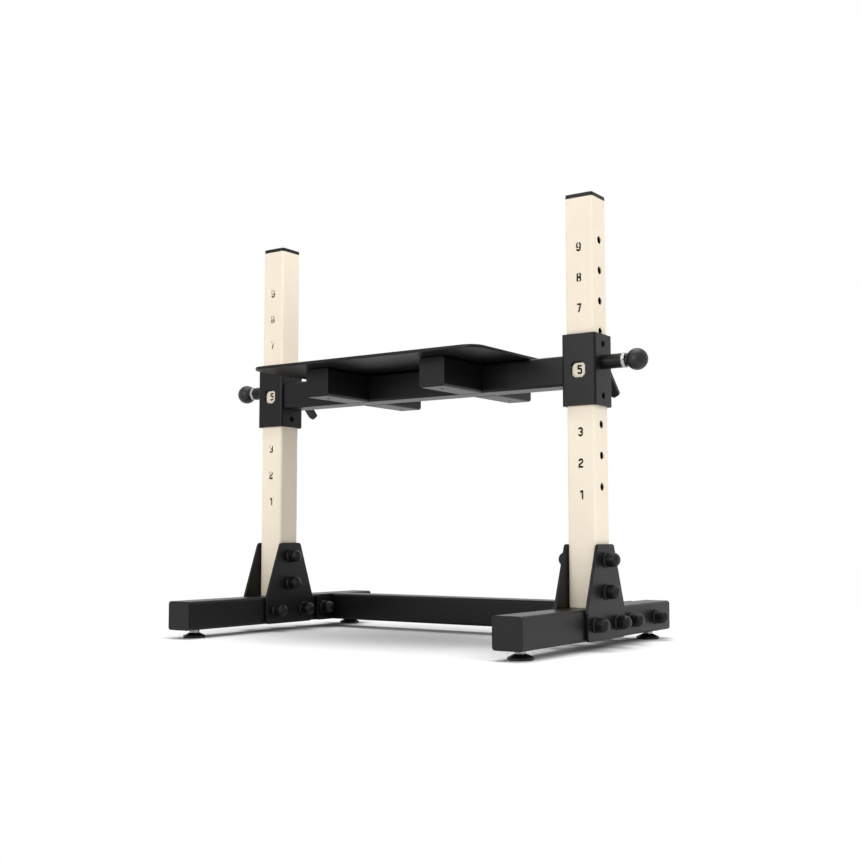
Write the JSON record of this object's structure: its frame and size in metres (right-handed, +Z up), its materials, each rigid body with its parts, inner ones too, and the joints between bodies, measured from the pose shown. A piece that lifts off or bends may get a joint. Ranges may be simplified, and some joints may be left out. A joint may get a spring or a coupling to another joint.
{
  "type": "adjustable step-up platform",
  "caption": "Standing plate on a sliding carriage between twin numbered uprights, locked at set heights by spring pull pins, on a bolted base with levelling feet.",
  "frame": {"origin": "on the floor under the middle of the base", "axes": "+X across the width from the left upright to the right one, -Y towards the numbered front faces, +Z up"},
  "size_m": [1.3182, 0.773, 1.1051],
  "materials": {
    "black_frame": "matt black powder coat with a fine texture",
    "cream_upright": "cream powder coat with a fine texture",
    "black_plastic": "matt moulded plastic",
    "ball_knob": "satin moulded plastic",
    "zinc_hardware": "bright zinc plate",
    "spring_steel": "drawn spring wire"
  },
  "bodies": {
    "base": {"left_rail": "black_frame", "left_rail_front_cap": "black_plastic", "left_rail_rear_cap": "black_plastic", "left_upright": "cream_upright", "left_upright_cap": "black_plastic", "left_outer_gusset": "black_frame", "left_inner_gusset": "black_frame", "left_beam_plate": "black_frame", "left_upright_lower_bolt": "black_plastic", "left_upright_upper_bolt": "black_plastic", "left_gusset_front_bolt": "black_plastic", "left_gusset_rear_bolt": "black_plastic", "left_beam_front_bolt": "black_plastic", "left_beam_rear_bolt": "black_plastic", "right_rail": "black_frame", "right_rail_front_cap": "black_plastic", "right_rail_rear_cap": "black_plastic", "right_upright": "cream_upright", "right_upright_cap": "black_plastic", "right_outer_gusset": "black_frame", "right_inner_gusset": "black_frame", "right_beam_plate": "black_frame", "right_upright_lower_bolt": "black_plastic", "right_upright_upper_bolt": "black_plastic", "right_gusset_front_bolt": "black_plastic", "right_gusset_rear_bolt": "black_plastic", "right_beam_front_bolt": "black_plastic", "right_beam_rear_bolt": "black_plastic", "rear_beam": "black_frame"},
    "carriage": {"left_collar": "black_frame", "left_tongue": "black_frame", "left_pin_barrel": "black_frame", "left_glide": "black_plastic", "left_pin_nut": "zinc_hardware", "left_front_support": "black_frame", "left_rear_support": "black_frame", "right_collar": "black_frame", "right_tongue": "black_frame", "right_pin_barrel": "black_frame", "right_glide": "black_plastic", "right_pin_nut": "zinc_hardware", "right_front_support": "black_frame", "right_rear_support": "black_frame", "crossbar": "black_frame", "deck_plate": "black_frame"},
    "left_pull_pin": {"left_pin": "zinc_hardware", "left_knob": "ball_knob", "left_spring": "spring_steel"},
    "right_pull_pin": {"right_pin": "zinc_hardware", "right_knob": "ball_knob", "right_spring": "spring_steel"},
    "left_front_foot": {"left_front_foot_pad": "black_plastic"},
    "left_front_foot_stud_screw": {"left_front_foot_stud": "zinc_hardware"},
    "left_rear_foot": {"left_rear_foot_pad": "black_plastic"},
    "left_rear_foot_stud_screw": {"left_rear_foot_stud": "zinc_hardware"},
    "right_front_foot": {"right_front_foot_pad": "black_plastic"},
    "right_front_foot_stud_screw": {"right_front_foot_stud": "zinc_hardware"},
    "right_rear_foot": {"right_rear_foot_pad": "black_plastic"},
    "right_rear_foot_stud_screw": {"right_rear_foot_stud": "zinc_hardware"}
  },
  "joints": [
    {"name": "carriage_slide", "type": "slide", "parent": "base", "child": "carriage", "axis": [0, 0, 1], "range_m": [-0.3024, 0.3024]},
    {"name": "left_pin_slide", "type": "slide", "parent": "carriage", "child": "left_pull_pin", "axis": [1, 0, 0], "range_m": [0, 0.006], "stiffness_N_per_m": 800, "springref_m": 0.02, "deforming": ["left_spring"]},
    {"name": "right_pin_slide", "type": "slide", "parent": "carriage", "child": "right_pull_pin", "axis": [-1, 0, 0], "range_m": [0, 0.006], "stiffness_N_per_m": 800, "springref_m": 0.02, "deforming": ["right_spring"]},
    {"name": "left_front_foot_height", "type": "slide", "parent": "base", "child": "left_front_foot", "axis": [0, 0, -1], "range_m": [0, 0.0105]},
    {"name": "left_front_stud_turn", "type": "hinge", "parent": "left_front_foot", "child": "left_front_foot_stud_screw", "pos_m": [-0.499, -0.328, 0], "axis": [0, 0, -1], "range_deg": [0, 2165]},
    {"name": "left_rear_foot_height", "type": "slide", "parent": "base", "child": "left_rear_foot", "axis": [0, 0, -1], "range_m": [0, 0.0105]},
    {"name": "left_rear_stud_turn", "type": "hinge", "parent": "left_rear_foot", "child": "left_rear_foot_stud_screw", "pos_m": [-0.499, 0.328, 0], "axis": [0, 0, -1], "range_deg": [0, 2165]},
    {"name": "right_front_foot_height", "type": "slide", "parent": "base", "child": "right_front_foot", "axis": [0, 0, -1], "range_m": [0, 0.0105]},
    {"name": "right_front_stud_turn", "type": "hinge", "parent": "right_front_foot", "child": "right_front_foot_stud_screw", "pos_m": [0.499, -0.328, 0], "axis": [0, 0, -1], "range_deg": [0, 2165]},
    {"name": "right_rear_foot_height", "type": "slide", "parent": "base", "child": "right_rear_foot", "axis": [0, 0, -1], "range_m": [0, 0.0105]},
    {"name": "right_rear_stud_turn", "type": "hinge", "parent": "right_rear_foot", "child": "right_rear_foot_stud_screw", "pos_m": [0.499, 0.328, 0], "axis": [0, 0, -1], "range_deg": [0, 2165]}
  ],
  "couplings": [
    {"joint": "left_front_stud_turn", "follows": "left_front_foot_height", "rad_per_m": 3590.4},
    {"joint": "left_rear_stud_turn", "follows": "left_rear_foot_height", "rad_per_m": 3590.4},
    {"joint": "right_front_stud_turn", "follows": "right_front_foot_height", "rad_per_m": 3590.4},
    {"joint": "right_rear_stud_turn", "follows": "right_rear_foot_height", "rad_per_m": 3590.4}
  ]
}
